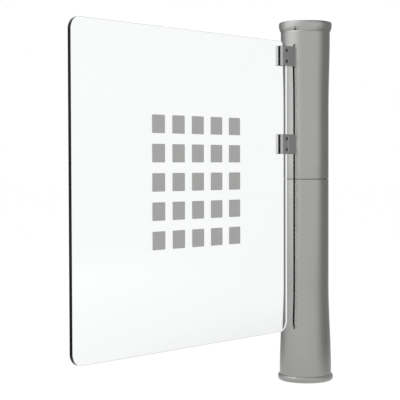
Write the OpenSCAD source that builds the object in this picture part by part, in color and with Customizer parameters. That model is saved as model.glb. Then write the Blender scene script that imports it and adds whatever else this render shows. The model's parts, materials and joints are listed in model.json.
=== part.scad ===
// Pedestrian swing gate: a round metal post whose upper half turns on a fixed inner mast
// and carries a frameless glass leaf in two clamps.
// The origin is the post's axis at floor level, +Z is up, and the closed leaf points along -X.

/* [Post] */
// Height of the whole post, from the floor to the top of the cap
post_h = 1000; // [970:5:1100]
// Outer diameter of the fixed column and of the turning head
post_d = 130; // [128:1:150]
// Wall of both post shells
shell_wall = 3; // [2:0.5:3.5]
// Height of the fixed column, where the turning head begins
column_h = 563; // [530:1:590]
// Open seam between the fixed column and the turning head
seam_gap = 1.5; // [1:0.5:3]
// Growth of the column's radius at its foot
foot_flare = 7.4; // [2:0.2:10]
// Height at which the foot flare begins
foot_flare_h = 270; // [120:10:400]
// Growth of the head's radius at its top
head_flare = 3.4; // [0.5:0.1:4]
// Length of the head's flare
head_flare_len = 210; // [80:1:240]

/* [Base and cap] */
// Thickness of the base plate
plate_t = 12; // [8:1:14]
// Diameter of the circle of anchor holes
anchor_pcd = 106; // [104:1:110]
// Diameter of each anchor hole
anchor_hole_d = 13; // [9:1:14]
// Number of anchor holes
anchor_count = 4; // [4]
// Diameter of the cable opening in the base plate
cable_bore_d = 40; // [25:1:50]
// Thickness of the gussets between plate and mast
gusset_t = 8; // [5:1:10]
// Height of the gussets
gusset_h = 50; // [30:5:80]
// Height of the rounded trim ring at the floor
base_ring_h = 17; // [14:1:25]
// Width of the rounded trim ring
base_ring_w = 4.8; // [3:0.2:8]
// Height of the cap above the head shell
cap_h = 26.5; // [24:0.5:34]
// How far the cap's bead stands out past the head shell
cap_bead = 5.2; // [3:0.1:8]
// Height of the bead's rounded underside
cap_belly = 18; // [6:1:18]
// Sweep of the underside's arc, in degrees. A larger one makes it flatter where it starts
bead_arc = 40; // [30:5:85]
// Rounding of the cap's top edge
cap_round = 4; // [3:0.5:6]
// Wall of the cap
cap_wall = 5; // [3:0.5:7]
// Length of the cap's spigot inside the head shell
cap_spigot = 7; // [4:0.5:12]

/* [Mast and bearings] */
// Outer diameter of the fixed inner mast
mast_d = 76; // [70:1:78]
// Wall of the mast
mast_wall = 3.5; // [2.5:0.5:4]
// Thickness of the plate that closes the mast's top
mast_top_t = 8; // [6:1:12]
// Diameter of a bearing ball
ball_d = 8; // [6:0.5:9]
// Number of balls in a bearing
ball_count = 24; // [12:1:26]
// Thickness of a bearing race behind its groove
race_t = 4; // [3.5:0.5:4.5]
// Width of a bearing along the mast
race_w = 12; // [11:1:16]
// Thickness of the lip that a bearing carrier turns under its race
carrier_lip_t = 3; // [2:0.5:5]

/* [Drive] */
// Distance from the mast's top to the top of the head shell
head_room = 52; // [50:1:60]
// Diameter of the gearbox
gearbox_d = 62; // [54:1:66]
// Length of the gearbox
gearbox_len = 92; // [70:2:120]
// Diameter of the motor
motor_d = 58; // [50:1:62]
// Length of the motor
motor_len = 135; // [100:5:160]
// Diameter of the holding brake
brake_d = 54; // [40:1:58]
// Length of the holding brake
brake_len = 35; // [25:1:50]
// Diameter of the output shaft
shaft_d = 16; // [14:1:18]
// Side of the square key between output shaft and hub
key_w = 5; // [4:1:6]
// Diameter of the drive disc's hub
hub_d = 36; // [32:1:38]
// Thickness of the drive disc and of the ring that carries it
disc_t = 8; // [5:1:9]
// Number of screws in the drive disc
disc_screw_count = 6; // [4:1:8]

/* [Angle sensor and stops] */
// Tooth size of the sensor gears
gear_module = 1; // [1]
// Number of teeth of the sensor pinion
pinion_teeth = 14; // [13:1:15]
// Width of the sensor gears
gear_w = 7; // [5:0.5:8]
// Diameter of the angle sensor's housing
sensor_d = 18; // [14:1:19]
// Length of the angle sensor's housing
sensor_len = 26; // [18:1:35]
// Diameter of the sensor shaft
sensor_shaft_d = 6; // [5:0.5:7]
// Swing of the leaf to each side, in degrees
swing = 90; // [60:5:110]
// Diameter of the stop pin
stop_pin_d = 5; // [4:0.5:6]
// Diameter of a rubber stop
stop_rubber_d = 6; // [5:0.5:7]

/* [Glass leaf] */
// Width of the glass
glass_w = 788; // [500:1:900]
// Height of the glass
glass_h = 795; // [600:1:850]
// Thickness of the glass
glass_t = 10; // [8:1:12]
// Distance from the upper clamp's centre to the leaf's upper edge
glass_over = 39.5; // [36:0.5:60]
// Corner radius of the glass
glass_corner = 30; // [10:1:60]
// Gap between the post and the glass
hinge_gap = 25.5; // [22:0.5:30]

/* [Clamps] */
// Height of a clamp
clamp_h = 54; // [46:1:60]
// Thickness of a clamp, front face to rear face
clamp_t = 30; // [26:1:34]
// Reach of a clamp from the post's surface
clamp_reach = 56; // [52:1:70]
// Corner radius of a clamp's free end
clamp_corner = 2; // [1:0.5:6]
// Distance from the head's lower edge up to the lower clamp's centre
clamp_rise = 95.5; // [70:0.5:130]
// Distance from the head's upper edge down to the upper clamp's centre
clamp_drop = 72.5; // [68:0.5:120]
// Thickness of the rubber between clamp and glass
gasket_t = 1.5; // [1:0.5:2.5]
// Distance from the clamp's free end to its screws
screw_inset = 18; // [12:1:22]
// Distance between a clamp's two screws
screw_pitch = 30; // [24:1:34]
// Thread diameter of the clamp screws
clamp_screw_d = 5; // [4:1:6]
// Thread diameter of the screws that hold a clamp to the head
saddle_screw_d = 6; // [5:1:8]

/* [Visibility marking] */
// Side of one square of the marking
mark_size = 45; // [30:1:55]
// Gap between two squares
mark_gap = 26; // [15:1:35]
// Number of squares along each side of the marking
mark_rows = 5; // [3:1:6]
// Thickness of the film
film_t = 0.4; // [0.2:0.1:0.6]
// Distance from the glass's hinge edge to the marking's centre
mark_inset = 364; // [230:1:480]
// Height of the marking's centre above the glass's lower edge
mark_rise = 416; // [250:1:500]

/* [Control board] */
// Width of the control board
board_w = 50; // [40:1:54]
// Height of the control board
board_h = 130; // [90:5:160]
// Height of the board's lower edge
board_z = 275; // [200:5:330]
// Thickness of the board
board_t = 1.6; // [1:0.2:2]

/* [Hidden] */
$fn = 96;

// Clearances
run_fit = 0.05;
seat_gap = 0.3;
trim_gap = 0.3;
slip = 0.1;
eps = 0.01;

// Radii of the post, the mast and the bearings
post_r = post_d / 2;
shell_in = post_r - shell_wall;
mast_r = mast_d / 2;
mast_in = mast_r - mast_wall;
ball_r = ball_d / 2;
groove_gap = 0.3;
shoulder = 1.5;
pitch_r = mast_r + race_t + ball_r;
bearing_out_r = pitch_r + ball_r + race_t;

// Flares of the two shells, blended smoothly into the straight tube
flare_steps = 18;
cap_z = post_h - cap_h;
head_z = column_h + seam_gap;
function smooth(t) = t <= 0 ? 0 : t >= 1 ? 1 : t * t * (3 - 2 * t);
function column_r(z) = post_r
    + foot_flare * smooth((foot_flare_h - z) / (foot_flare_h - base_ring_h));
function head_r(z) = post_r + head_flare * smooth((z - cap_z + head_flare_len) / head_flare_len);
function steps(a, b, n) = [for (i = [0:n]) a + (b - a) * i / n];
column_levels = concat([seat_gap], steps(base_ring_h, foot_flare_h, flare_steps), [column_h]);
head_levels = concat([head_z], steps(cap_z - head_flare_len, cap_z, flare_steps));

// Base
plate_r = post_r + foot_flare - shell_wall - seat_gap;
ring_in = post_r + foot_flare + trim_gap;
gusset_top_w = 4;
gusset_toe = 4;
gusset_foot = plate_r - 6;

// Stack of rings just under and above the seam
ring_t = 8;
ring_drop = 14;
ring_top_z = column_h - ring_drop;
gear_lift = 4;
gear_z = ring_top_z + gear_lift;
flange_t = 3.5;
flange_neck = 2.5;
flange_z = gear_z + gear_w + flange_neck;
carrier_z = flange_z + flange_t;
lower_bearing_z = carrier_z + carrier_lip_t;
carrier_over = 2;
carrier_lip_w = 3.5;
lip_r = bearing_out_r - carrier_lip_w;
collar_h = 2.7;
collar_w = 3.5;
seal_t = 1.5;
seal_top_z = head_z - seat_gap;

// Sensor gears, with stub teeth of 20 degrees
addendum = 0.8 * gear_module;
dedendum = gear_module;
pressure_angle = 20;
tooth_thinning = 0.15;
mesh_slack = 0.15;
gear_rim = 5;
gear_teeth = 2 * ceil((mast_r + gear_rim) / gear_module);
gear_pitch_r = gear_teeth * gear_module / 2;
pinion_pitch_r = pinion_teeth * gear_module / 2;
sensor_x = gear_pitch_r + pinion_pitch_r + mesh_slack;
mast_clearance = 2.3;
gear_bore_r = mast_r + mast_clearance;
flange_r = bearing_out_r - carrier_over;
gear_screw_r = (gear_bore_r + flange_r + mast_clearance) / 2;
gear_screw_d = 3;
gear_screw_head_h = 1.8;
gear_screw_count = 6;
neck_wall = 2;
neck_r = sensor_shaft_d / 2 + neck_wall;
sensor_top_z = ring_top_z - ring_t;
sensor_bore_z = sensor_top_z - sensor_len * 0.7;
sensor_shaft_z = sensor_bore_z + seat_gap;
pinion_inset = 0.5;

// Stops
rubber_r = stop_rubber_d / 2;
rubber_h = 11;
stop_overlap = 5;
stop_r = shell_in - seal_t - 0.5 - rubber_r;
stop_reach = rubber_r + stop_pin_d / 2 + seat_gap;
stop_angle = swing - 2 * asin(stop_reach / 2 / stop_r);

// Drive train at the top of the mast
mast_top_z = cap_z - head_room;
top_plate_z = mast_top_z - mast_top_t;
gearbox_z = top_plate_z - gearbox_len;
motor_z = gearbox_z - motor_len;
brake_z = motor_z - brake_len;
boss_wall = 6;
boss_r = shaft_d / 2 + boss_wall;
boss_rise = 3;
boss_top_z = mast_top_z + boss_rise;
shaft_depth = 12;
shaft_z = top_plate_z - shaft_depth;
ring_lift = 15;
head_ring_z = mast_top_z + ring_lift;
disc_z = head_ring_z + disc_t;
hub_reach = 14;
hub_z = disc_z - hub_reach + 2;
hub_top_z = disc_z + hub_reach;
disc_rim_gap = 3;
disc_r = head_r(head_ring_z) - shell_wall - disc_rim_gap;
ring_land = 9;
head_ring_in = disc_r - ring_land;
disc_screw_inset = 5.5;
disc_screw_r = disc_r - disc_screw_inset;
disc_screw_d = 6;
disc_window_r = 7;
screw_head_h = 4;
thread_len = 7;
gearbox_screw_d = 6;
gearbox_screw_inset = 12;
gearbox_screw_r = mast_in - gearbox_screw_inset;
gearbox_thread = 11;
gearbox_flange_t = 8;
washer_t = 2.5;
washer_inset = 5;
shaft_bolt_d = 8;
shaft_bolt_len = 17;
shaft_bolt_head_d = 13;
shaft_bolt_head_h = 6;
key_len = hub_top_z - disc_z - 1;

// Glass and clamps, measured from the post's axis along the leaf
glass_s = post_r + hinge_gap;
clamp_end = post_r + clamp_reach;
jaw_y = glass_t / 2 + gasket_t;
split_s = glass_s - gasket_t;
jaw_s = split_s + seat_gap;
screw_s = clamp_end - screw_inset;
clamp_low_z = head_z + clamp_rise;
clamp_high_z = cap_z - clamp_drop;
clamp_zs = [clamp_low_z, clamp_high_z];
glass_z = clamp_high_z + glass_over - glass_h;
screw_dzs = [-screw_pitch / 2, screw_pitch / 2];
bush_wall = 1.8;
bush_in = clamp_screw_d / 2 + 0.2;
bush_out = bush_in + bush_wall;
clamp_head_d = 1.7 * clamp_screw_d;
clamp_head_h = 3;
head_recess = 1.5;
screw_tip = 2;
saddle_rest = 5;
saddle_screw_len = split_s - post_r - saddle_rest;
saddle_root = 6;
saddle_drill = 30;

// Upper bearing, midway between the two clamps
upper_bearing_z = (clamp_low_z + clamp_high_z - race_w) / 2;

// Control board, standing behind the mast
spacer_h = 4;
spacer_r = 2.5;
spacer_pin_r = 1.5;
bracket_t = 1.5;
bracket_gap = 4;
bracket_y = mast_r + bracket_gap;
bracket_foot_w = 20;
bracket_foot_h = 12;
bracket_inset = 2;
board_y = bracket_y + bracket_t + spacer_h;
hole_inset = 6;
bracket_foot_in = hole_inset + bracket_gap;
part_h = 7;
terminal_pitch = 5;
terminal_count = 6;
terminal_h = 12;
terminal_z = board_z + 10;
relay_w = 14;
relay_h = 28;
relay_gap = 6;
relay_rise = 40;
relay_pitch = relay_h + part_h;
relay_zs = [board_z + relay_rise, board_z + relay_rise + relay_pitch];

// A ring or tube standing on z
module tube(outer, inner, z, h) {
    translate([0, 0, z])
    difference() {
        cylinder(r = outer, h = h);
        translate([0, 0, -1]) cylinder(r = inner, h = h + 2);
    }
}

// Socket head screw along +Z, its head standing on z = 0 and its shank below
module socket_screw(d, len, head_d, head_h) {
    difference() {
        union() {
            cylinder(d = head_d, h = head_h);
            translate([0, 0, -len]) cylinder(d = d, h = len);
        }
        translate([0, 0, head_h * 0.4]) cylinder(d = head_d * 0.55, h = head_h, $fn = 6);
    }
}

// Solid that fills the turning head's outer shape
module head_envelope() {
    rotate_extrude()
    polygon(concat([[0, head_z]], [for (z = head_levels) [head_r(z), z]], [[0, cap_z]]));
}

module base_plate() {
    color("#8d8f91")
    difference() {
        cylinder(r = plate_r, h = plate_t);
        translate([0, 0, -1]) cylinder(d = cable_bore_d, h = plate_t + 2);
        for (i = [0:anchor_count - 1])
            rotate([0, 0, i * 360 / anchor_count])
            translate([anchor_pcd / 2, 0, -1])
            cylinder(d = anchor_hole_d, h = plate_t + 2);
    }
}

module base_gussets() {
    color("#85878a")
    difference() {
        for (i = [0:anchor_count - 1])
            rotate([0, 0, (i + 0.5) * 360 / anchor_count])
            translate([0, gusset_t / 2, plate_t])
            rotate([90, 0, 0])
            linear_extrude(height = gusset_t)
            polygon([[mast_r - 3, 0], [gusset_foot, 0], [gusset_foot, gusset_toe],
                [mast_r + gusset_top_w, gusset_h], [mast_r - 3, gusset_h]]);
        cylinder(r = mast_r, h = plate_t + gusset_h + 2);
    }
}

// The trim ring swells at its middle, and closes on the column at its top and near the floor
module base_ring() {
    belly_z = base_ring_h * 0.5;
    top_rise = base_ring_h - belly_z;
    top_angle = 80;
    foot_angle = 75;
    arc_top = [for (a = steps(0, top_angle, 8))
        [ring_in + base_ring_w * cos(a), belly_z + top_rise * sin(a) / sin(top_angle)]];
    arc_foot = [for (a = steps(foot_angle, 0, 6))
        [ring_in + base_ring_w * cos(a), belly_z * (1 - sin(a) / sin(foot_angle))]];
    color("#a6a7a6")
    rotate_extrude()
    polygon(concat([[ring_in, 0]], arc_foot, [for (i = [1:8]) arc_top[i]], [[ring_in, base_ring_h]]));
}

module column_shell() {
    color("#a2a3a1")
    rotate_extrude()
    polygon(concat([for (z = column_levels) [column_r(z), z]],
        [for (i = [len(column_levels) - 1:-1:0])
            [column_r(column_levels[i]) - shell_wall, column_levels[i]]]));
}

module mast_tube() {
    color("#7e8083") tube(mast_r, mast_in, plate_t, mast_top_z - plate_t);
}

// The top plate sits inside the mast and carries the gearbox from above
module mast_top_plate() {
    color("#8a8c8f")
    difference() {
        translate([0, 0, top_plate_z]) cylinder(r = mast_in, h = mast_top_t);
        translate([0, 0, top_plate_z - 1]) cylinder(r = boss_r + seat_gap, h = mast_top_t + 2);
        for (i = [0:3])
            rotate([0, 0, 45 + i * 90])
            translate([gearbox_screw_r, 0, top_plate_z - 1])
            cylinder(d = gearbox_screw_d + 2 * slip, h = mast_top_t + 2);
    }
}

// Fixed ring that centres the column shell and carries seal, stops and angle sensor
module column_top_ring() {
    color("#8a8c8f")
    difference() {
        tube(shell_in, mast_r, ring_top_z - ring_t, ring_t);
        translate([sensor_x, 0, ring_top_z - ring_t - 1])
            cylinder(r = neck_r + slip, h = ring_t + 2);
    }
}

module seam_seal() {
    color("#222222") tube(shell_in, shell_in - seal_t, ring_top_z, seal_top_z - ring_top_z);
}

module bearing_collars() {
    color("#8f9194") {
        tube(mast_r + collar_w, mast_r, lower_bearing_z - collar_h, collar_h);
        tube(mast_r + collar_w, mast_r, upper_bearing_z - collar_h, collar_h);
    }
}

// One race of a ball bearing, with the ball groove cut into the side that faces the balls
module race(inner, outer, z) {
    rotate_extrude()
    difference() {
        translate([inner, z]) square([outer - inner, race_w]);
        translate([pitch_r, z + race_w / 2]) circle(r = ball_r + groove_gap, $fn = 48);
    }
}

module inner_race(z) {
    race(mast_r, mast_r + race_t + shoulder, z);
}

module outer_race(z) {
    race(bearing_out_r - race_t - shoulder, bearing_out_r, z);
}

module ball_row(z) {
    for (i = [0:ball_count - 1])
        rotate([0, 0, i * 360 / ball_count])
        translate([pitch_r, 0, z + race_w / 2])
        sphere(r = ball_r, $fn = 24);
}

module lower_bearing_inner() {
    color("#c4c6c8") inner_race(lower_bearing_z);
}

module lower_bearing_balls() {
    color("#dcdee0") ball_row(lower_bearing_z);
}

module upper_bearing_inner() {
    color("#c4c6c8") inner_race(upper_bearing_z);
}

module upper_bearing_balls() {
    color("#dcdee0") ball_row(upper_bearing_z);
}

// Planetary gearbox: sealed case with a mounting flange and a bored boss for the shaft
module gearbox_case() {
    color("#5d6063")
    difference() {
        union() {
            translate([0, 0, gearbox_z]) cylinder(d = gearbox_d, h = gearbox_len);
            translate([0, 0, top_plate_z - gearbox_flange_t])
                cylinder(r = mast_in - seat_gap, h = gearbox_flange_t);
            translate([0, 0, top_plate_z - eps]) cylinder(r = boss_r, h = boss_top_z - top_plate_z);
        }
        translate([0, 0, shaft_z - 0.5])
            cylinder(r = shaft_d / 2 + run_fit, h = boss_top_z - shaft_z + 2);
        for (i = [0:3])
            rotate([0, 0, 45 + i * 90])
            translate([gearbox_screw_r, 0, top_plate_z - shaft_depth])
            cylinder(d = gearbox_screw_d, h = shaft_depth + 1);
    }
}

module motor_can() {
    color("#3b3e42") translate([0, 0, motor_z]) cylinder(d = motor_d, h = motor_len);
}

module brake_case() {
    color("#2e3033")
    difference() {
        translate([0, 0, brake_z]) cylinder(d = brake_d, h = brake_len);
        for (i = [0:2])
            translate([0, 0, brake_z + brake_len * (0.3 + 0.2 * i)])
            rotate_extrude()
            translate([brake_d / 2 - 1, 0]) square([2, 2]);
    }
}

module gearbox_screws() {
    color("#b5b7b9")
    for (i = [0:3])
        rotate([0, 0, 45 + i * 90])
        translate([gearbox_screw_r, 0, mast_top_z])
        socket_screw(gearbox_screw_d, mast_top_t + gearbox_thread, 1.5 * gearbox_screw_d, screw_head_h);
}

module stop_rubbers() {
    color("#1f1f1f")
    for (side = [-1, 1])
        rotate([0, 0, 180 + side * (swing + (swing - stop_angle))])
        translate([stop_r, 0, ring_top_z])
        cylinder(r = rubber_r, h = rubber_h);
}

// Angle sensor hanging under the fixed ring, its neck passing through the ring
module sensor_body() {
    color("#2b4c6f")
    difference() {
        union() {
            translate([sensor_x, 0, sensor_top_z - sensor_len])
                cylinder(d = sensor_d, h = sensor_len);
            translate([sensor_x, 0, sensor_top_z - eps]) cylinder(r = neck_r, h = ring_t);
        }
        translate([sensor_x, 0, sensor_bore_z])
            cylinder(r = sensor_shaft_d / 2 + run_fit, h = sensor_len + ring_t);
    }
}

// Sheet bracket on two feet that fit the mast
module board_bracket() {
    color("#b8b9ba") {
        translate([bracket_inset - board_w / 2, bracket_y, board_z])
            cube([board_w - 2 * bracket_inset, bracket_t, board_h]);
        difference() {
            for (z = [board_z + bracket_foot_in, board_z + board_h - bracket_foot_in - bracket_foot_h])
                translate([-bracket_foot_w / 2, mast_r - bracket_gap, z])
                cube([bracket_foot_w, 2 * bracket_gap, bracket_foot_h]);
            cylinder(r = mast_r, h = column_h);
        }
    }
}

module control_board() {
    color("#2f6b45")
    difference() {
        translate([-board_w / 2, board_y, board_z]) cube([board_w, board_t, board_h]);
        at_board_corners() translate([0, 0, -1]) cylinder(r = spacer_pin_r + slip, h = board_t + 2);
    }
}

// Places its children at the board's four fixing points, +Z pointing away from the mast
module at_board_corners() {
    for (x = [-1, 1])
        for (z = [board_z + hole_inset, board_z + board_h - hole_inset])
            translate([x * (board_w / 2 - hole_inset), board_y, z])
            rotate([-90, 0, 0])
            children();
}

module board_spacers() {
    color("#c9a548")
    at_board_corners() translate([0, 0, -spacer_h]) {
        cylinder(r = spacer_r, h = spacer_h);
        cylinder(r = spacer_pin_r, h = spacer_h + board_t + 1);
    }
}

// Row of screw terminals for supply and control lines
module terminal_block() {
    color("#3f7f3a")
    difference() {
        translate([-terminal_count * terminal_pitch / 2, board_y + board_t, terminal_z])
            cube([terminal_count * terminal_pitch, part_h + 1, terminal_h]);
        for (i = [0:terminal_count - 1])
            translate([(i + 0.5 - terminal_count / 2) * terminal_pitch, board_y + board_t + part_h / 2,
                terminal_z + terminal_h / 2])
            rotate([-90, 0, 0])
            cylinder(d = terminal_pitch * 0.6, h = part_h);
    }
}

module relay_blocks() {
    color("#1c2b52")
    for (x = [-relay_w - relay_gap / 2, relay_gap / 2])
        for (z = relay_zs)
            translate([x, board_y + board_t, z]) cube([relay_w, part_h, relay_h]);
}

module head_shell() {
    color("#a2a3a1")
    difference() {
        rotate_extrude()
            polygon(concat([for (z = head_levels) [head_r(z), z]],
                [for (i = [len(head_levels) - 1:-1:0])
                    [head_r(head_levels[i]) - shell_wall, head_levels[i]]]));
        at_saddle_screws() translate([0, 0, -saddle_drill / 2])
            cylinder(d = saddle_screw_d + 2 * slip, h = saddle_drill);
    }
}

// The cap rounds out into a bead, and its spigot fits inside the head shell
module head_cap() {
    rim_r = head_r(cap_z);
    bead_r = rim_r + cap_bead;
    spigot_r = head_r(cap_z - cap_spigot) - shell_wall - slip;
    cavity_r = spigot_r - cap_wall;
    underside = [for (a = steps(-bead_arc, 0, 8))
        [rim_r + cap_bead * (cos(a) - cos(bead_arc)) / (1 - cos(bead_arc)),
            cap_z + cap_belly * (1 + sin(a) / sin(bead_arc))]];
    top_edge = [for (a = steps(0, 90, 8))
        [bead_r - cap_round + cap_round * cos(a), post_h - cap_round + cap_round * sin(a)]];
    color("#a6a7a6")
    rotate_extrude()
    polygon(concat([[cavity_r, cap_z - cap_spigot], [spigot_r, cap_z - cap_spigot], [spigot_r, cap_z]],
        underside, top_edge, [[0, post_h], [0, post_h - cap_wall], [cavity_r, post_h - cap_wall]]));
}

module head_ring() {
    color("#8a8c8f")
    difference() {
        tube(head_r(head_ring_z) - shell_wall, head_ring_in, head_ring_z, disc_t);
        at_disc_screws() translate([0, 0, -2 * disc_t - 1]) cylinder(d = disc_screw_d, h = 2 * disc_t);
    }
}

// Places its children on the drive disc's screw circle, at the disc's upper face
module at_disc_screws() {
    for (i = [0:disc_screw_count - 1])
        rotate([0, 0, (i + 0.5) * 360 / disc_screw_count])
        translate([disc_screw_r, 0, disc_z + disc_t])
        children();
}

module keyway() {
    translate([-key_w / 2, shaft_d / 2 - key_w / 2, disc_z]) cube([key_w, key_w, key_len]);
}

module drive_disc() {
    color("#94969a")
    difference() {
        union() {
            translate([0, 0, disc_z]) cylinder(r = disc_r, h = disc_t);
            translate([0, 0, hub_z]) cylinder(d = hub_d, h = hub_top_z - hub_z);
        }
        translate([0, 0, hub_z - 1]) cylinder(d = shaft_d, h = hub_top_z - hub_z + 2);
        keyway();
        at_disc_screws() translate([0, 0, -disc_t - 1])
            cylinder(d = disc_screw_d + 2 * slip, h = disc_t + 2);
        for (i = [0:disc_screw_count - 1])
            rotate([0, 0, i * 360 / disc_screw_count])
            translate([(hub_d / 2 + disc_r) / 2, 0, disc_z - 1])
            cylinder(r = disc_window_r, h = disc_t + 2);
    }
}

module disc_screws() {
    color("#b5b7b9")
    at_disc_screws() socket_screw(disc_screw_d, disc_t + thread_len, 1.5 * disc_screw_d, screw_head_h);
}

module output_shaft() {
    color("#c9cbcd")
    difference() {
        translate([0, 0, shaft_z]) cylinder(d = shaft_d, h = hub_top_z - shaft_z);
        keyway();
        translate([0, 0, hub_top_z - shaft_bolt_len - 1]) cylinder(d = shaft_bolt_d, h = shaft_bolt_len + 2);
    }
}

module shaft_key() {
    color("#7a7c7e") keyway();
}

module shaft_bolt() {
    color("#b5b7b9")
    translate([0, 0, hub_top_z]) {
        tube(hub_d / 2 - washer_inset, shaft_bolt_d / 2, 0, washer_t);
        translate([0, 0, washer_t])
            socket_screw(shaft_bolt_d, washer_t + shaft_bolt_len, shaft_bolt_head_d, shaft_bolt_head_h);
    }
}

// A carrier holds an outer race inside the head shell, its lip under the race
module carrier(z) {
    color("#8a8c8f") {
        difference() {
            translate([0, 0, z])
                cylinder(r = shell_in, h = carrier_lip_t + race_w + carrier_over);
            translate([0, 0, z - 1]) cylinder(r = lip_r, h = carrier_lip_t + 2);
            translate([0, 0, z + carrier_lip_t])
                cylinder(r = bearing_out_r, h = race_w + carrier_over + 1);
        }
    }
}

module lower_carrier() {
    carrier(carrier_z);
}

module upper_carrier() {
    carrier(upper_bearing_z - carrier_lip_t);
}

module lower_bearing_outer() {
    color("#c4c6c8") outer_race(lower_bearing_z);
}

module upper_bearing_outer() {
    color("#c4c6c8") outer_race(upper_bearing_z);
}

// Involute tooth flanks: half the tooth's angle at radius r
function involute(base_r, r) = r <= base_r ? 0
    : let (a = acos(base_r / r)) tan(a) * 180 / PI - a;
function half_tooth(n, r) = let (p = n * gear_module / 2, b = p * cos(pressure_angle))
    90 / n - tooth_thinning / 2 / p * 180 / PI + involute(b, p) - involute(b, r);
function polar(r, a) = [r * cos(a), r * sin(a)];
function flank_radii(n) = let (p = n * gear_module / 2)
    steps(p - dedendum, p + addendum, 3);

// Spur gear outline with a tooth centred on +X
module gear_outline(n) {
    radii = flank_radii(n);
    polygon([for (k = [0:n - 1]) let (a = k * 360 / n)
        each concat([for (r = radii) polar(r, a - half_tooth(n, r))],
            [for (i = [len(radii) - 1:-1:0]) polar(radii[i], a + half_tooth(n, radii[i]))])]);
}

// Large sensor gear on a flange that is screwed under the lower carrier
module sensor_gear() {
    color("#d8d4c4")
    difference() {
        union() {
            translate([0, 0, gear_z]) linear_extrude(height = gear_w) gear_outline(gear_teeth);
            translate([0, 0, gear_z + gear_w - eps])
                cylinder(r = gear_pitch_r - dedendum, h = flange_z - gear_z - gear_w + 2 * eps);
            translate([0, 0, flange_z]) cylinder(r = flange_r, h = flange_t);
        }
        translate([0, 0, gear_z - 1]) cylinder(r = gear_bore_r, h = carrier_z - gear_z + 2);
        at_gear_screws() translate([0, 0, -flange_t])
            cylinder(d = gear_screw_d + 2 * slip, h = 2 * flange_t);
    }
}

module at_gear_screws() {
    for (i = [0:gear_screw_count - 1])
        rotate([0, 0, (i + 0.5) * 360 / gear_screw_count])
        translate([gear_screw_r, 0, flange_z])
        rotate([180, 0, 0])
        children();
}

module gear_screws() {
    color("#b5b7b9")
    at_gear_screws() socket_screw(gear_screw_d, flange_t, 1.6 * gear_screw_d, gear_screw_head_h);
}

module stop_pin() {
    color("#c9cbcd")
    translate([-stop_r, 0, ring_top_z + rubber_h - stop_overlap])
    cylinder(d = stop_pin_d, h = carrier_z - ring_top_z - rubber_h + stop_overlap);
}

// Places its children at one clamp's saddle screws, +Z pointing along the leaf
module at_saddle_screws(zs = clamp_zs) {
    for (z = zs)
        for (dz = screw_dzs)
            translate([-(head_r(z + dz) - shell_wall - seat_gap), 0, z + dz])
            rotate([0, -90, 0])
            children();
}

// Places its children at one clamp's jaw screws, +Z pointing out of the front face
module at_jaw_screws(zs = clamp_zs) {
    for (z = zs)
        for (dz = screw_dzs)
            translate([-screw_s, 0, z + dz])
            rotate([90, 0, 0])
            children();
}

// Slice of the clamp's outline, from s0 to s1 along the leaf and from y0 to y1 across it
module clamp_slice(z, s0, s1, y0, y1) {
    intersection() {
        translate([0, y1, z])
        rotate([90, 0, 0])
        linear_extrude(height = y1 - y0)
        union() {
            translate([-clamp_end + clamp_corner, -clamp_h / 2])
                square([clamp_end, clamp_h]);
            translate([-clamp_end, -clamp_h / 2 + clamp_corner])
                square([clamp_end, clamp_h - 2 * clamp_corner]);
            for (side = [-1, 1])
                translate([-clamp_end + clamp_corner, side * (clamp_h / 2 - clamp_corner)])
                circle(r = clamp_corner, $fn = 32);
        }
        translate([-s1, y0 - 1, z - clamp_h])
            cube([s1 - s0, y1 - y0 + 2, 2 * clamp_h]);
    }
}

// Saddle that fits the turning head, with the rear jaw in one piece with it
module clamp_body(z) {
    color("#7a7b7b")
    difference() {
        union() {
            clamp_slice(z, post_r - saddle_root, split_s, -clamp_t / 2, clamp_t / 2);
            clamp_slice(z, split_s - eps, clamp_end, jaw_y, clamp_t / 2);
        }
        head_envelope();
        at_saddle_screws([z]) cylinder(d = saddle_screw_d, h = saddle_screw_len + shell_wall);
        at_jaw_screws([z]) translate([0, 0, -(clamp_t / 2 - screw_tip)])
            cylinder(d = clamp_screw_d, h = clamp_t / 2);
    }
}

module clamp_jaw(z) {
    color("#7a7b7b")
    difference() {
        clamp_slice(z, jaw_s, clamp_end, -clamp_t / 2, -jaw_y);
        at_jaw_screws([z]) cylinder(r = bush_in, h = clamp_t);
        at_jaw_screws([z]) translate([0, 0, clamp_t / 2 - head_recess - clamp_head_h])
            cylinder(d = clamp_head_d + 1, h = clamp_t);
    }
}

// Rubber channel that wraps the glass edge inside the clamp
module clamp_gasket(z) {
    color("#222222")
    difference() {
        clamp_slice(z, split_s, clamp_end, -jaw_y, jaw_y);
        translate([-clamp_end - 1, -glass_t / 2, z - clamp_h])
            cube([clamp_end + 1 - glass_s, glass_t, 2 * clamp_h]);
        at_jaw_screws([z]) translate([0, 0, -clamp_t]) cylinder(r = bush_out, h = 2 * clamp_t);
    }
}

module upper_clamp_body() {
    clamp_body(clamp_high_z);
}

module lower_clamp_body() {
    clamp_body(clamp_low_z);
}

module upper_clamp_jaw() {
    clamp_jaw(clamp_high_z);
}

module lower_clamp_jaw() {
    clamp_jaw(clamp_low_z);
}

module upper_clamp_gasket() {
    clamp_gasket(clamp_high_z);
}

module lower_clamp_gasket() {
    clamp_gasket(clamp_low_z);
}

module clamp_screws() {
    head_y = clamp_t / 2 - head_recess - clamp_head_h;
    color("#4a4b4c")
    at_jaw_screws() translate([0, 0, head_y])
        socket_screw(clamp_screw_d, head_y + clamp_t / 2 - screw_tip, clamp_head_d, clamp_head_h);
}

module saddle_screws() {
    color("#b5b7b9")
    at_saddle_screws() mirror([0, 0, 1])
        socket_screw(saddle_screw_d, saddle_screw_len, 1.6 * saddle_screw_d, screw_head_h);
}

module glass_bushes() {
    color("#e8e8e4")
    at_jaw_screws() tube(bush_out, bush_in, -glass_t / 2, glass_t);
}

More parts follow.
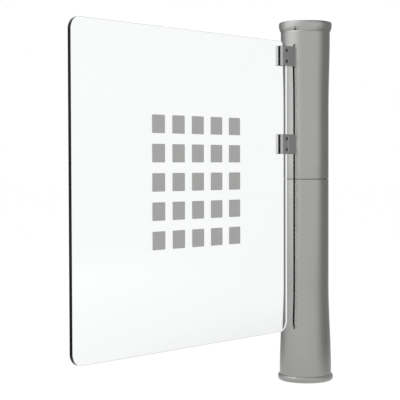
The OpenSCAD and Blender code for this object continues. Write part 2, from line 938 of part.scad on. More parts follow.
module glass_panel() {
    color("#dff0ee", 0.35)
    difference() {
        translate([-glass_s - glass_w / 2, glass_t / 2, glass_z + glass_h / 2])
        rotate([90, 0, 0])
        linear_extrude(height = glass_t)
        union() {
            square([glass_w - 2 * glass_corner, glass_h], center = true);
            square([glass_w, glass_h - 2 * glass_corner], center = true);
            for (x = [-1, 1])
                for (y = [-1, 1])
                    translate([x * (glass_w / 2 - glass_corner), y * (glass_h / 2 - glass_corner)])
                    circle(r = glass_corner);
        }
        at_jaw_screws() translate([0, 0, -clamp_t]) cylinder(r = bush_out + slip, h = 2 * clamp_t);
    }
}

// Plain squares of grey film that make the clear leaf visible
module marking_film() {
    pitch = mark_size + mark_gap;
    color("#a8a8a8")
    for (i = [0:mark_rows - 1])
        for (j = [0:mark_rows - 1])
            translate([(i - (mark_rows - 1) / 2) * pitch - mark_size / 2 - glass_s - mark_inset,
                -glass_t / 2 - film_t,
                (j - (mark_rows - 1) / 2) * pitch - mark_size / 2 + glass_z + mark_rise])
            cube([mark_size, film_t, mark_size]);
}

// Small sensor gear in one piece with its shaft, a tooth gap facing the large gear
module sensor_pinion() {
    color("#c9cbcd")
    translate([sensor_x, 0, 0]) {
        translate([0, 0, sensor_shaft_z])
            cylinder(d = sensor_shaft_d, h = gear_z + gear_w - sensor_shaft_z);
        translate([0, 0, gear_z + pinion_inset])
            rotate([0, 0, 180 + 180 / pinion_teeth])
            linear_extrude(height = gear_w - 2 * pinion_inset)
            gear_outline(pinion_teeth);
    }
}

base_plate();
base_gussets();
base_ring();
column_shell();
mast_tube();
mast_top_plate();
column_top_ring();
seam_seal();
bearing_collars();
lower_bearing_inner();
lower_bearing_balls();
upper_bearing_inner();
upper_bearing_balls();
gearbox_case();
motor_can();
brake_case();
gearbox_screws();
stop_rubbers();
sensor_body();
board_bracket();
control_board();
board_spacers();
terminal_block();
relay_blocks();
head_shell();
head_cap();
head_ring();
drive_disc();
disc_screws();
output_shaft();
shaft_key();
shaft_bolt();
lower_carrier();
upper_carrier();
lower_bearing_outer();
upper_bearing_outer();
sensor_gear();
gear_screws();
stop_pin();
upper_clamp_body();
lower_clamp_body();
upper_clamp_jaw();
lower_clamp_jaw();
upper_clamp_gasket();
lower_clamp_gasket();
clamp_screws();
saddle_screws();
glass_bushes();
glass_panel();
marking_film();
sensor_pinion();
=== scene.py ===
import json
import math

import bmesh
import bpy
from mathutils import Matrix, Vector


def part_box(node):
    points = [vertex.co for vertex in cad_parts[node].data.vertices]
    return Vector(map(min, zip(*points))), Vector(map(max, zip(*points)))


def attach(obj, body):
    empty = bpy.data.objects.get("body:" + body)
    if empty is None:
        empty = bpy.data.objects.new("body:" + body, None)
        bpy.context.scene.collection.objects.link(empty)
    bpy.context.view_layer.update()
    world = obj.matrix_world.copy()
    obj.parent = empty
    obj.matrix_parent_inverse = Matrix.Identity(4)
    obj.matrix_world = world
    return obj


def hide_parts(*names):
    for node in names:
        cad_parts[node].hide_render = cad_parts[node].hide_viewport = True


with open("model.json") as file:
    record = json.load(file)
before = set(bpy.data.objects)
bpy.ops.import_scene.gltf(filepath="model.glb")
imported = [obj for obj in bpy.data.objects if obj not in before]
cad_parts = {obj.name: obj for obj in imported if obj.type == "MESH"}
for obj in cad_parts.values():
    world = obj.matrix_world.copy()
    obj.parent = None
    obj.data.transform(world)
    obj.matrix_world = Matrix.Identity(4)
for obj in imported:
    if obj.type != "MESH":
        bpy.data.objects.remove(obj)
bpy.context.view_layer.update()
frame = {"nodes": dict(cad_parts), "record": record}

# A glass swing gate on a steel post. Metres, post on the Z axis, leaf along -X at rest.
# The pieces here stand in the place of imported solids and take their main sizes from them.

NODES = frame["nodes"]


def corner(node, which):
    """Lowest (0) or highest (1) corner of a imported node."""
    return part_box(node)[which]


# Sizes of the post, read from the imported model
POST_H = corner("head_cap", 1).z
FOOT_R = corner("column_shell", 1).x
COLUMN_LOW = corner("column_shell", 0).z
COLUMN_TOP = corner("column_shell", 1).z
HEAD_LOW = corner("head_shell", 0).z
CAP_Z = corner("head_shell", 1).z
RIM_R = corner("head_shell", 1).x
BEAD_R = corner("head_cap", 1).x
SPIGOT_Z = corner("head_cap", 0).z
RING_R = corner("base_ring", 1).x
RING_H = corner("base_ring", 1).z
SHELL_IN = corner("seam_seal", 1).x

# The rest of the post's form
WALL = 0.003
POST_R = SHELL_IN + WALL
EDGE = 0.0004
FOOT_FLARE_TOP = 0.270
COLUMN_PLAIN_FROM = 0.33
HEAD_FLARE_LEN = 0.210
HEAD_PLAIN_FROM = 0.62
CAP_BELLY = 0.018
CAP_ARC = math.radians(40)
CAP_ROUND = 0.004
CAP_WALL = 0.005
CAP_TOP_RINGS = (0.75, 0.45, 0.2, 0.0)
SPIGOT_SLIP = 0.0001
RING_GAP = 0.0003
RING_BELLY = 0.5
RING_TOP_ARC = math.radians(80)
RING_FOOT_ARC = math.radians(75)

# The glass leaf. Where a normal has less than SIDEWAYS along Y, the face is on the pane's edge.
PANE_LOW, PANE_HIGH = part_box("glass_panel")
PANE_T = PANE_HIGH.y - PANE_LOW.y
PANE_CORNER = 0.030
ARRIS = 0.00015
SIDEWAYS = 0.3
BUSH_SLIP = 0.0001
FILM_LOW, FILM_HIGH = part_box("marking_film")
FILM_SQUARE = 0.045
FILM_PITCH = 0.071
FILM_ROWS = 5
FILM_CORNER = 0.0022
FILM_LIFT = 0.00003
CLAMP_EDGE = 0.0005
GASKET_EDGE = CLAMP_EDGE / 3

# Fineness of the meshes. SHARP_CORNER is in degrees.
TURNS = 224
WELD = 1e-6
LATHE_SMOOTH = math.radians(40)
SLAB_SMOOTH = math.radians(30)
SHARP_CORNER = 30
ALMOST_FLAT = math.radians(0.5)


def smooth(t):
    """Eases from 0 to 1."""
    t = min(1.0, max(0.0, t))
    return t * t * (3 - 2 * t)


def column_r(z):
    """Outer radius of the fixed column, which flares out at the foot."""
    return POST_R + (FOOT_R - POST_R) * smooth((FOOT_FLARE_TOP - z) / (FOOT_FLARE_TOP - RING_H))


def head_r(z):
    """Outer radius of the turning head, which flares a little under its cap."""
    return POST_R + (RIM_R - POST_R) * smooth((z - CAP_Z + HEAD_FLARE_LEN) / HEAD_FLARE_LEN)


def steps(a, b, parts):
    """Evenly spaced values from a to b, both included."""
    return [a + (b - a) * i / parts for i in range(parts + 1)]


# Mesh helpers
def link(name, data):
    """New object of that mesh, curve, lamp or camera in the scene."""
    piece = bpy.data.objects.new(name, data)
    bpy.context.scene.collection.objects.link(piece)
    return piece


def finish_mesh(bm, name, angle=None):
    """Object of the bmesh, smooth where its faces meet at less than the angle."""
    bmesh.ops.recalc_face_normals(bm, faces=bm.faces)
    mesh = bpy.data.meshes.new(name)
    bm.to_mesh(mesh)
    bm.free()
    if angle:
        mesh.shade_smooth()
        mesh.set_sharp_from_angle(angle=angle)
    return link(name, mesh)


def rounded(outline, radius):
    """The closed outline with its sharp corners rounded off, but not the ones on the axis."""
    made = []
    for i, point in enumerate(outline):
        here = Vector(point)
        before = Vector(outline[i - 1]) - here
        after = Vector(outline[(i + 1) % len(outline)]) - here
        bend = math.pi - before.angle(after)
        if math.degrees(bend) < SHARP_CORNER or here.x < EDGE:
            made.append(here)
            continue
        reach = min(radius * math.tan(bend / 2), 0.45 * before.length, 0.45 * after.length)
        start = here + before.normalized() * reach
        end = here + after.normalized() * reach
        for t in steps(0, 1, parts=4):
            made.append((1 - t) ** 2 * start + 2 * t * (1 - t) * here + t * t * end)
    return made


def lathe(name, outline):
    """Solid of revolution about the post's axis, from a closed outline of (radius, height)."""
    bm = bmesh.new()
    turn = [math.tau * k / TURNS for k in range(TURNS)]
    rings = []
    for r, z in outline:
        if r < WELD:
            rings.append([bm.verts.new((0, 0, z))] * TURNS)
        else:
            rings.append([bm.verts.new((r * math.cos(a), r * math.sin(a), z)) for a in turn])
    for i, ring in enumerate(rings):
        other = rings[(i + 1) % len(rings)]
        for k in range(TURNS):
            j = (k + 1) % TURNS
            quad = []
            for vert in (ring[k], ring[j], other[j], other[k]):
                if vert not in quad:
                    quad.append(vert)
            if len(quad) > 2:
                bm.faces.new(quad)
    return finish_mesh(bm, name, LATHE_SMOOTH)


def rounded_spline(curve, centre, size, radius, parts):
    """Adds a rounded rectangle, in the curve's own plane, to a flat curve."""
    points = []
    for i, (sx, sy) in enumerate(((1, 1), (-1, 1), (-1, -1), (1, -1))):
        for t in steps(0, 1, parts):
            a = math.radians(90 * (i + t))
            points.append((centre[0] + sx * (size[0] / 2 - radius) + radius * math.cos(a),
                           centre[1] + sy * (size[1] / 2 - radius) + radius * math.sin(a)))
    closed_spline(curve, points)


def closed_spline(curve, points):
    """Adds a closed polygon to a flat curve."""
    spline = curve.splines.new("POLY")
    spline.points.add(len(points) - 1)
    for target, point in zip(spline.points, points):
        target.co = (point[0], point[1], 0, 1)
    spline.use_cyclic_u = True


def slab(name, curve, y, thickness, edge):
    """Turns a flat curve into an upright slab centred on y, with its edges cut at 45 degrees."""
    curve.dimensions = "2D"
    curve.fill_mode = "BOTH"
    curve.extrude = thickness / 2 - edge
    curve.bevel_depth = edge
    curve.bevel_resolution = 0
    curve.offset = -edge
    holder = link(name + "_outline", curve)
    bpy.context.view_layer.update()
    mesh = bpy.data.meshes.new_from_object(holder)
    bpy.data.objects.remove(holder)
    bm = bmesh.new()
    bm.from_mesh(mesh)
    bmesh.ops.remove_doubles(bm, verts=bm.verts, dist=WELD)
    bm.transform(Matrix.Translation((0, y, 0)) @ Matrix.Rotation(math.radians(90), 4, "X"))
    return finish_mesh(bm, name, SLAB_SMOOTH)


def bevelled_copy(node, width):
    """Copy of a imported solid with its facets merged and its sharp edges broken."""
    bm = bmesh.new()
    bm.from_mesh(NODES[node].data)
    bmesh.ops.remove_doubles(bm, verts=bm.verts, dist=WELD)
    bmesh.ops.dissolve_limit(bm, angle_limit=ALMOST_FLAT, verts=bm.verts, edges=bm.edges)
    piece = finish_mesh(bm, node + "_trim", SLAB_SMOOTH)
    edge = piece.modifiers.new("edge", "BEVEL")
    edge.width = width
    edge.segments = 2
    edge.limit_method = "ANGLE"
    edge.angle_limit = SLAB_SMOOTH
    edge.harden_normals = True
    edge.miter_outer = "MITER_ARC"
    graph = bpy.context.evaluated_depsgraph_get()
    mesh = bpy.data.meshes.new_from_object(piece.evaluated_get(graph))
    piece.modifiers.clear()
    piece.data = mesh
    mesh.name = piece.name
    return piece


def dress(piece, body, slot, material, *nodes):
    """Gives a piece its material and puts it on its body in place of the nodes. The slot argument is
    not used.
    """
    piece.data.materials.clear()
    piece.data.materials.append(material)
    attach(piece, body)
    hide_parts(*nodes)


# Material helpers
MIDDLE = (0.3, 0.7)  # where most of a noise pattern's values lie


class Surface:
    """A Principled material that is put together from a few procedural layers."""

    def __init__(self, name, colour, roughness, metallic=0.0):
        self.material = bpy.data.materials.new(name)
        self.material.use_nodes = True
        self.nodes = self.material.node_tree.nodes
        self.links = self.material.node_tree.links
        self.shader = next(n for n in self.nodes if n.type == "BSDF_PRINCIPLED")
        self.colour = colour
        self.roughness = roughness
        self.shader.inputs["Base Color"].default_value = (*colour, 1)
        self.shader.inputs["Roughness"].default_value = roughness
        self.shader.inputs["Metallic"].default_value = metallic
        self.place = self.nodes.new("ShaderNodeTexCoord").outputs["Object"]

    def stretch(self, scale):
        """Object coordinates, scaled along each axis."""
        node = self.nodes.new("ShaderNodeMapping")
        node.inputs["Scale"].default_value = scale
        self.links.new(self.place, node.inputs["Vector"])
        return node.outputs["Vector"]

    def noise(self, scale, detail=4, rough=0.55, stretch=(1, 1, 1)):
        """Noise pattern over the object, 0 to 1."""
        node = self.nodes.new("ShaderNodeTexNoise")
        node.inputs["Scale"].default_value = scale
        node.inputs["Detail"].default_value = detail
        node.inputs["Roughness"].default_value = rough
        self.links.new(self.stretch(stretch), node.inputs["Vector"])
        return node.outputs["Fac"]

    def cells(self, scale, feature="F1", stretch=(1, 1, 1)):
        """Cell pattern over the object."""
        node = self.nodes.new("ShaderNodeTexVoronoi")
        node.feature = feature
        node.inputs["Scale"].default_value = scale
        self.links.new(self.stretch(stretch), node.inputs["Vector"])
        return node.outputs["Distance"]

    def waves(self, scale, direction, distortion):
        """Bands across one axis, such as turning marks."""
        node = self.nodes.new("ShaderNodeTexWave")
        node.bands_direction = direction
        node.inputs["Scale"].default_value = scale
        node.inputs["Distortion"].default_value = distortion
        self.links.new(self.place, node.inputs["Vector"])
        return node.outputs["Fac"]

    def slope(self, direction, low, high):
        """0 to 1 along a direction, between two distances from the origin in metres."""
        node = self.nodes.new("ShaderNodeVectorMath")
        node.operation = "DOT_PRODUCT"
        node.inputs[1].default_value = direction
        self.links.new(self.place, node.inputs[0])
        return self.remap(node.outputs["Value"], low, high)

    def total(self, first, second):
        """Sum of two patterns."""
        node = self.nodes.new("ShaderNodeMath")
        self.links.new(first, node.inputs[0])
        self.links.new(second, node.inputs[1])
        return node.outputs["Value"]

    def remap(self, value, low, high, to_low=0, to_high=1):
        """Stretches a range of the pattern to another range, clamped."""
        node = self.nodes.new("ShaderNodeMapRange")
        for name, number in (("From Min", low), ("From Max", high),
                             ("To Min", to_low), ("To Max", to_high)):
            node.inputs[name].default_value = number
        self.links.new(value, node.inputs["Value"])
        return node.outputs["Result"]

    def tint(self, value, *stops):
        """Base colour from a pattern, through colour stops of (place, share of the colour)."""
        ramp = self.nodes.new("ShaderNodeValToRGB")
        elements = ramp.color_ramp.elements
        while len(elements) < len(stops):
            elements.new(0.5)
        for element, (place, share) in zip(elements, stops):
            shares = share if isinstance(share, tuple) else (share,) * 3
            element.position = place
            element.color = (*[min(1, c * s) for c, s in zip(self.colour, shares)], 1)
        self.links.new(value, ramp.inputs["Fac"])
        self.links.new(ramp.outputs["Color"], self.shader.inputs["Base Color"])

    def vary(self, value, dark, light):
        """Base colour that varies between two shares of itself with a noise pattern."""
        self.tint(value, (MIDDLE[0], dark), (MIDDLE[1], light))

    def gloss(self, value, spread, span=MIDDLE):
        """Roughness that varies with a pattern, around the surface's own."""
        ranged = self.remap(value, *span, self.roughness - spread, self.roughness + spread)
        self.links.new(ranged, self.shader.inputs["Roughness"])

    def bump(self, value, depth, strength):
        """Relief of that depth in metres."""
        node = self.nodes.new("ShaderNodeBump")
        node.inputs["Strength"].default_value = strength
        node.inputs["Distance"].default_value = depth
        self.links.new(value, node.inputs["Height"])
        self.links.new(node.outputs["Normal"], self.shader.inputs["Normal"])


# Materials
def satin_steel():
    """Satin grey tube: fine grain along the post, nearly even."""
    s = Surface("satin_steel", (0.36, 0.36, 0.352), roughness=0.1, metallic=1)
    grain = s.noise(900, detail=3, rough=0.6, stretch=(1, 1, 0.05))
    s.vary(s.noise(5, detail=3, rough=0.5), 0.985, 1.015)
    s.gloss(grain, 0.02)
    s.bump(grain, 0.0000013, 0.3)
    return s.material


def satin_trim(name, colour, metallic):
    """Satin casting under a thin lacquer, softer than the tube."""
    s = Surface(name, colour, roughness=0.17, metallic=metallic)
    grain = s.noise(1100, detail=3, rough=0.6)
    s.vary(s.noise(12, detail=3, rough=0.5), 0.985, 1.015)
    s.gloss(grain, 0.03)
    s.bump(grain, 0.000003, 0.3)
    return s.material


def clamp_metal():
    """Fine blasted metal of the clamps."""
    s = Surface("clamp_metal", (0.46, 0.46, 0.46), roughness=0.15, metallic=1)
    grain = s.noise(2600, detail=3, rough=0.6)
    s.vary(s.noise(60), 0.97, 1.03)
    s.gloss(grain, 0.03)
    s.bump(grain, 0.00001, 0.3)
    return s.material


def glass(name, colour, mirroring):
    """Smooth clear glass that shows that share of its reflections."""
    s = Surface(name, colour, roughness=0)
    s.shader.inputs["Transmission Weight"].default_value = 1
    s.shader.inputs["IOR"].default_value = 1.5
    s.shader.inputs["Specular Tint"].default_value = (mirroring, mirroring, mirroring, 1)
    return s


def clear_glass():
    """Clear toughened glass, a little smudged, and greyer towards the foot of its hinge side, where a
    dim reflection is painted into its colour.
    """
    s = glass("clear_glass", (0.955, 0.967, 0.973), 0.3)
    smudge = s.remap(s.noise(3, detail=2), *MIDDLE, -0.05, 0.05)
    # painted reflection: the colour greys towards the foot of the hinge side
    foot = s.slope((-0.1, 0, 1), 0.16, 0.44)
    s.tint(s.total(foot, smudge), (0, 0.90), (0.3, 0.955), (0.6, 0.97), (1, 1.002))
    return s.material


def glass_edge():
    """Polished edge of the glass, which mirrors less than its faces."""
    s = glass("glass_edge", (0.93, 0.95, 0.955), 0)
    s.vary(s.noise(60, detail=2), 0.97, 1)
    return s.material


def grey_film():
    """Matt grey film with a fine calendered grain."""
    s = Surface("grey_film", (0.372, 0.372, 0.368), roughness=0.55)
    s.vary(s.noise(220), 0.975, 1.025)
    s.gloss(s.noise(700, detail=2), 0.06)
    s.bump(s.noise(3000, detail=2), 0.00001, 0.3)
    return s.material


def seal_rubber():
    """Black moulded rubber with a faint bloom."""
    s = Surface("seal_rubber", (0.018, 0.018, 0.018), roughness=0.6)
    s.tint(s.noise(140), (0.35, 0.8), (0.75, 1.7))
    s.gloss(s.noise(400, detail=3), 0.1)
    s.bump(s.noise(2500, detail=3), 0.00003, 0.4)
    return s.material


def galvanised(name, colour, roughness, scale):
    """Zinc coated steel with a spangle of flat cells."""
    s = Surface(name, colour, roughness, metallic=1)
    spangle = s.cells(scale)
    s.tint(spangle, (0, 0.86), (0.45, 1), (0.9, 1.12))
    s.gloss(spangle, 0.08, span=(0, 0.7))
    s.bump(s.noise(1200, detail=3), 0.00002, 0.3)
    return s.material


def bearing_steel():
    """Ground steel with fine turning marks."""
    s = Surface("bearing_steel", (0.62, 0.63, 0.64), roughness=0.16, metallic=1)
    marks = s.waves(900, "Z", distortion=0.6)
    s.tint(marks, (0.2, 0.97), (0.8, 1.03))
    s.gloss(marks, 0.03, span=(0.1, 0.9))
    s.bump(marks, 0.000004, 0.3)
    return s.material


def zinc_screw():
    """Zinc plated screws, slightly mottled."""
    s = Surface("zinc_screw", (0.55, 0.56, 0.57), roughness=0.28, metallic=1)
    s.vary(s.noise(500), 0.9, 1.08)
    s.gloss(s.noise(900, detail=3), 0.08)
    s.bump(s.noise(3000, detail=2), 0.00001, 0.3)
    return s.material


def screw_dark():
    """Blackened socket screws, rubbed a little bare in patches."""
    s = Surface("screw_dark", (0.13, 0.13, 0.132), roughness=0.34, metallic=1)
    s.tint(s.noise(650, detail=5), (0.35, 0.8), (0.72, 1.25))
    s.gloss(s.noise(1200, detail=3), 0.08)
    s.bump(s.noise(4000, detail=2), 0.00001, 0.3)
    return s.material


def drive_metal():
    """Sand cast housing with a pitted skin."""
    s = Surface("drive_metal", (0.24, 0.245, 0.25), roughness=0.45, metallic=0.85)
    pits = s.noise(700, detail=6, rough=0.65)
    s.vary(pits, 0.82, 1.12)
    s.gloss(pits, 0.1)
    s.bump(pits, 0.00012, 0.5)
    return s.material


def drive_paint():
    """Dark powder coat with an orange peel."""
    s = Surface("drive_paint", (0.035, 0.038, 0.042), roughness=0.42)
    peel = s.noise(620, detail=2, rough=0.4)
    s.vary(s.noise(40), 0.9, 1.12)
    s.gloss(peel, 0.06)
    s.bump(peel, 0.00008, 0.5)
    return s.material


def moulded(name, colour, roughness, grain=900, depth=0.00004):
    """Moulded plastic with a spark eroded grain and slight flow marks."""
    s = Surface(name, colour, roughness)
    skin = s.noise(grain, detail=3)
    s.vary(s.noise(35, detail=3, rough=0.5, stretch=(1, 1, 0.4)), 0.94, 1.05)
    s.gloss(skin, 0.06)
    s.bump(skin, depth, 0.4)
    return s.material


def board_green():
    """Lacquered circuit board with darker tracks under the lacquer."""
    s = Surface("board_green", (0.03, 0.14, 0.055), roughness=0.25)
    tracks = s.cells(260, "DISTANCE_TO_EDGE", (1, 1, 0.45))
    s.tint(tracks, (0, 1.5), (0.05, 1.45), (0.08, 0.85), (1, 1))
    s.gloss(s.noise(600, detail=2), 0.05)
    s.bump(tracks, 0.00002, 0.25)
    return s.material


def brass():
    """Turned brass, lightly tarnished."""
    s = Surface("brass", (0.52, 0.34, 0.09), roughness=0.26, metallic=1)
    marks = s.waves(1500, "Y", distortion=0.5)
    s.vary(s.noise(160), (0.85, 0.8, 0.75), 1.08)
    s.gloss(marks, 0.05, span=(0.1, 0.9))
    s.bump(marks, 0.000005, 0.3)
    return s.material


MATERIALS = {
    "satin_steel": satin_steel(),
    # the cap's colour is a little lighter than the tube's as a painted highlight
    "cap_satin_painted_highlight": satin_trim("cap_satin_painted_highlight", (0.378, 0.378, 0.37), metallic=1),
    "ring_satin": satin_trim("ring_satin", (0.36, 0.36, 0.352), metallic=0.7),
    "clamp_metal": clamp_metal(),
    "clear_glass": clear_glass(),
    "glass_edge": glass_edge(),
    "grey_film": grey_film(),
    "seal_rubber": seal_rubber(),
    "plate_steel": galvanised("plate_steel", (0.42, 0.43, 0.44), 0.36, scale=130),
    "mast_steel": galvanised("mast_steel", (0.33, 0.34, 0.35), 0.42, scale=80),
    "bearing_steel": bearing_steel(),
    "zinc_screw": zinc_screw(),
    "screw_dark": screw_dark(),
    "drive_metal": drive_metal(),
    "drive_paint": drive_paint(),
    "board_green": board_green(),
    "brass": brass(),
    "sensor_plastic": moulded("sensor_plastic", (0.02, 0.05, 0.11), 0.45),
    "terminal_green": moulded("terminal_green", (0.045, 0.2, 0.045), 0.4),
    "relay_blue": moulded("relay_blue", (0.02, 0.045, 0.14), 0.28, grain=1400, depth=0.00002),
    "gear_plastic": moulded("gear_plastic", (0.62, 0.58, 0.47), 0.38),
    "bush_plastic": moulded("bush_plastic", (0.74, 0.74, 0.71), 0.45),
}


# Pieces of the post
def make_column():
    """Fixed column: straight tube over a flared foot, with broken edges."""
    levels = [COLUMN_LOW, *steps(RING_H, FOOT_FLARE_TOP, parts=36)]
    levels += steps(COLUMN_PLAIN_FROM, COLUMN_TOP, parts=4)
    outer = [(column_r(z), z) for z in levels]
    inner = [(column_r(z) - WALL, z) for z in reversed(levels)]
    piece = lathe("column_skin", rounded(outer + inner, EDGE))
    dress(piece, "column", "satin_steel", MATERIALS["satin_steel"], "column_shell")


def make_head():
    """Turning head: tube that flares a little under the cap."""
    flare_from = CAP_Z - HEAD_FLARE_LEN
    levels = [HEAD_LOW, *steps(HEAD_PLAIN_FROM, flare_from, parts=3)]
    levels += steps(flare_from, CAP_Z, parts=28)[1:]
    outer = [(head_r(z), z) for z in levels]
    inner = [(head_r(z) - WALL, z) for z in reversed(levels)]
    piece = lathe("head_skin", rounded(outer + inner, EDGE))
    dress(piece, "leaf", "satin_steel", MATERIALS["satin_steel"], "head_shell")


def make_cap():
    """Cap: an arc that swells up to the bead, a rounded upper edge and a flat top."""
    spigot = head_r(SPIGOT_Z) - WALL - SPIGOT_SLIP
    cavity = spigot - CAP_WALL
    flat = BEAD_R - CAP_ROUND
    outline = [(cavity, SPIGOT_Z), (spigot, SPIGOT_Z), (spigot, CAP_Z)]
    for a in steps(-CAP_ARC, 0, parts=16):
        swell = (math.cos(a) - math.cos(CAP_ARC)) / (1 - math.cos(CAP_ARC))
        rise = 1 + math.sin(a) / math.sin(CAP_ARC)
        outline.append((RIM_R + (BEAD_R - RIM_R) * swell, CAP_Z + CAP_BELLY * rise))
    for a in steps(0, math.pi / 2, parts=12):
        outline.append((flat + CAP_ROUND * math.cos(a), POST_H - CAP_ROUND + CAP_ROUND * math.sin(a)))
    outline += [(share * flat, POST_H) for share in CAP_TOP_RINGS]
    outline += [(0, POST_H - CAP_WALL), (cavity, POST_H - CAP_WALL)]
    piece = lathe("cap_skin", outline)
    dress(piece, "leaf", "satin_steel", MATERIALS["cap_satin_painted_highlight"], "head_cap")


def make_base_ring():
    """Rounded trim ring at the floor."""
    inner = FOOT_R + RING_GAP
    width = RING_R - inner
    belly = RING_BELLY * RING_H
    outline = [(inner, 0)]
    for a in steps(RING_FOOT_ARC, 0, parts=14):
        drop = math.sin(a) / math.sin(RING_FOOT_ARC)
        outline.append((inner + width * math.cos(a), belly * (1 - drop)))
    for a in steps(0, RING_TOP_ARC, parts=14)[1:]:
        rise = (RING_H - belly) * math.sin(a) / math.sin(RING_TOP_ARC)
        outline.append((inner + width * math.cos(a), belly + rise))
    outline.append((inner, RING_H))
    piece = lathe("base_ring_skin", outline)
    dress(piece, "column", "satin_steel", MATERIALS["ring_satin"], "base_ring")


# Pieces of the leaf
def ring_points(x, z, radius, parts=40):
    """Circle in the curve's plane."""
    turn = [math.tau * k / parts for k in range(parts)]
    return [(x + radius * math.cos(a), z + radius * math.sin(a)) for a in turn]


def bush_places():
    """Centres of the bushes in the glass, two in each clamp, and their radius."""
    low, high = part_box("glass_bushes")
    radius = (high.x - low.x) / 2
    x = (low.x + high.x) / 2
    upper, lower = [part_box(side + "_clamp_jaw") for side in ("upper", "lower")]
    pitch = (high.z - radius) - (low.z + radius) - (upper[0].z - lower[0].z)
    places = []
    for clamp in (upper, lower):
        middle = (clamp[0].z + clamp[1].z) / 2
        places += [(x, middle - pitch / 2), (x, middle + pitch / 2)]
    return places, radius


def make_glass():
    """Toughened pane with rounded corners, polished arris edges and four holes."""
    curve = bpy.data.curves.new("pane", "CURVE")
    middle = (PANE_LOW + PANE_HIGH) / 2
    size = PANE_HIGH - PANE_LOW
    rounded_spline(curve, (middle.x, middle.z), (size.x, size.z), PANE_CORNER, parts=16)
    places, radius = bush_places()
    for x, z in places:
        closed_spline(curve, ring_points(x, z, radius + BUSH_SLIP))
    piece = slab("glass_pane", curve, middle.y, PANE_T, ARRIS)
    dress(piece, "leaf", "clear_glass", MATERIALS["clear_glass"], "glass_panel")
    piece.data.materials.append(MATERIALS["glass_edge"])
    for face in piece.data.polygons:
        face.material_index = int(abs(face.normal.y) < SIDEWAYS)


def make_film():
    """Grid of film squares with rounded corners on the front of the glass."""
    curve = bpy.data.curves.new("film", "CURVE")
    for i in range(FILM_ROWS):
        for j in range(FILM_ROWS):
            centre = (FILM_LOW.x + FILM_SQUARE / 2 + i * FILM_PITCH,
                      FILM_LOW.z + FILM_SQUARE / 2 + j * FILM_PITCH)
            rounded_spline(curve, centre, (FILM_SQUARE, FILM_SQUARE), FILM_CORNER, parts=5)
    thick = FILM_HIGH.y - FILM_LOW.y - 2 * FILM_LIFT
    middle = (FILM_HIGH.y + FILM_LOW.y) / 2
    piece = slab("film_squares", curve, middle, thick, thick / 3)
    dress(piece, "leaf", "grey_film", MATERIALS["grey_film"], "marking_film")


def make_clamps():
    """Clamp bodies, jaws and gaskets with broken edges."""
    for side in ("upper", "lower"):
        for part, slot, width in (("body", "clamp_metal", CLAMP_EDGE),
                                  ("jaw", "clamp_metal", CLAMP_EDGE),
                                  ("gasket", "seal_rubber", GASKET_EDGE)):
            node = f"{side}_clamp_{part}"
            dress(bevelled_copy(node, width), "leaf", slot, MATERIALS[slot], node)


def finish_inner_nodes():
    """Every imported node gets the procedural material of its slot."""
    for part in frame["record"]["subparts"]:
        for holder in NODES[part["node"]].material_slots:
            holder.material = MATERIALS[part["material_slot"]]


# Studio. The camera is fitted to the photograph: its turn is from +Y towards +X, and its lens
# and sensor are in millimetres.
CAMERA_AT = Vector((-2.6430, -1.9893, 0.6012))
CAMERA_TURN = math.radians(47.898)
CAMERA_PITCH = math.radians(1.666)
CAMERA_ROLL = math.radians(0.167)
CAMERA_LENS = 105.544
CAMERA_SENSOR = 36
CAMERA_CLIP = (0.1, 200)

# Brightness of the studio's walls round the post, by the angle from the camera's side
WALL_LEVELS = (
    (-180, 0.80), (-165, 0.27), (-144, 0.31), (-131, 0.42), (-112, 0.76), (-96, 1.18),
    (-78, 1.45), (-60, 1.48), (-47, 1.39), (-27, 1.11), (-17, 1.03), (50, 1.03), (62, 0.94),
    (72, 0.80), (86, 0.54), (95, 0.44), (110, 0.40), (140, 0.34), (170, 0.42), (180, 0.80),
)
# The same near the floor, where the left is darker and the right side falls off sooner
FOOT_LEVELS = (
    (-180, 0.80), (-170, 0.45), (-153, 0.30), (-111, 0.64), (-103, 0.79), (-90, 0.92),
    (-50, 0.98), (0, 1.00), (41, 0.95), (51, 0.89), (61, 0.79), (84, 0.50), (104, 0.40),
    (170, 0.45), (180, 0.80),
)
# The same up high, which the rounded edge of the cap shows
HIGH_LEVELS = (
    (-180, 0.80), (-165, 0.26), (-131, 0.45), (-112, 0.90), (-87, 1.85), (-60, 2.20),
    (-45, 2.10), (-17, 1.20), (0, 0.85), (20, 0.64), (50, 0.54), (85, 0.22), (100, 0.20),
    (158, 0.35), (180, 0.80),
)
# The walls stand further off on the camera's side, with a step in towards the back at an angle
# in degrees. The foot's levels fade out up to FOOT_FADE, and the high ones come in above HIGH_FROM.
WALL_PARTS = 180
WALL_FAR = 2.2
WALL_NEAR = 1.0
WALL_STEP_FROM = 88
WALL_STEP_SPAN = 24
WALL_LOW = 0.05
WALL_TOP = 2.4
FOOT_FADE = 0.6
FOOT_FADE_POWER = 0.7
HIGH_FROM = 1.28
HIGH_TO = 1.6
# The apron lies on the floor round the post, and the dome closes the walls
APRON_IN = 0.08
APRON_LEVEL = 0.88
APRON_SHADE = 0.35
APRON_Z = 0.0015
APRON_SPREAD = 1.8
APRON_FADE_FROM = 0.9 * APRON_IN
DOME_CLOSE = math.radians(88)
DOME_BEND = 1.5
DOME_RISE = 0.6
DOME_LEVEL = 0.9

# The floor's colour under soft light, and what is added to its glow where it is seen directly
FLOOR_R = 40
FLOOR_COLOUR = 0.8
FLOOR_SEEN = 0.11
FLOOR_GLOW = 0.93
WORLD_LEVEL = 0.62
# Each lamp's place, size and power
LAMPS = {
    "key_box": ((-2.6, -3.0, 2.8), 2.4, 60),
    "fill_box": ((2.2, -2.6, 2.2), 2.0, 24),
    "back_box": ((0.8, 3.4, 2.6), 2.4, 40),
}
LAMP_AIM = Vector((-0.3, 0, 0.5))


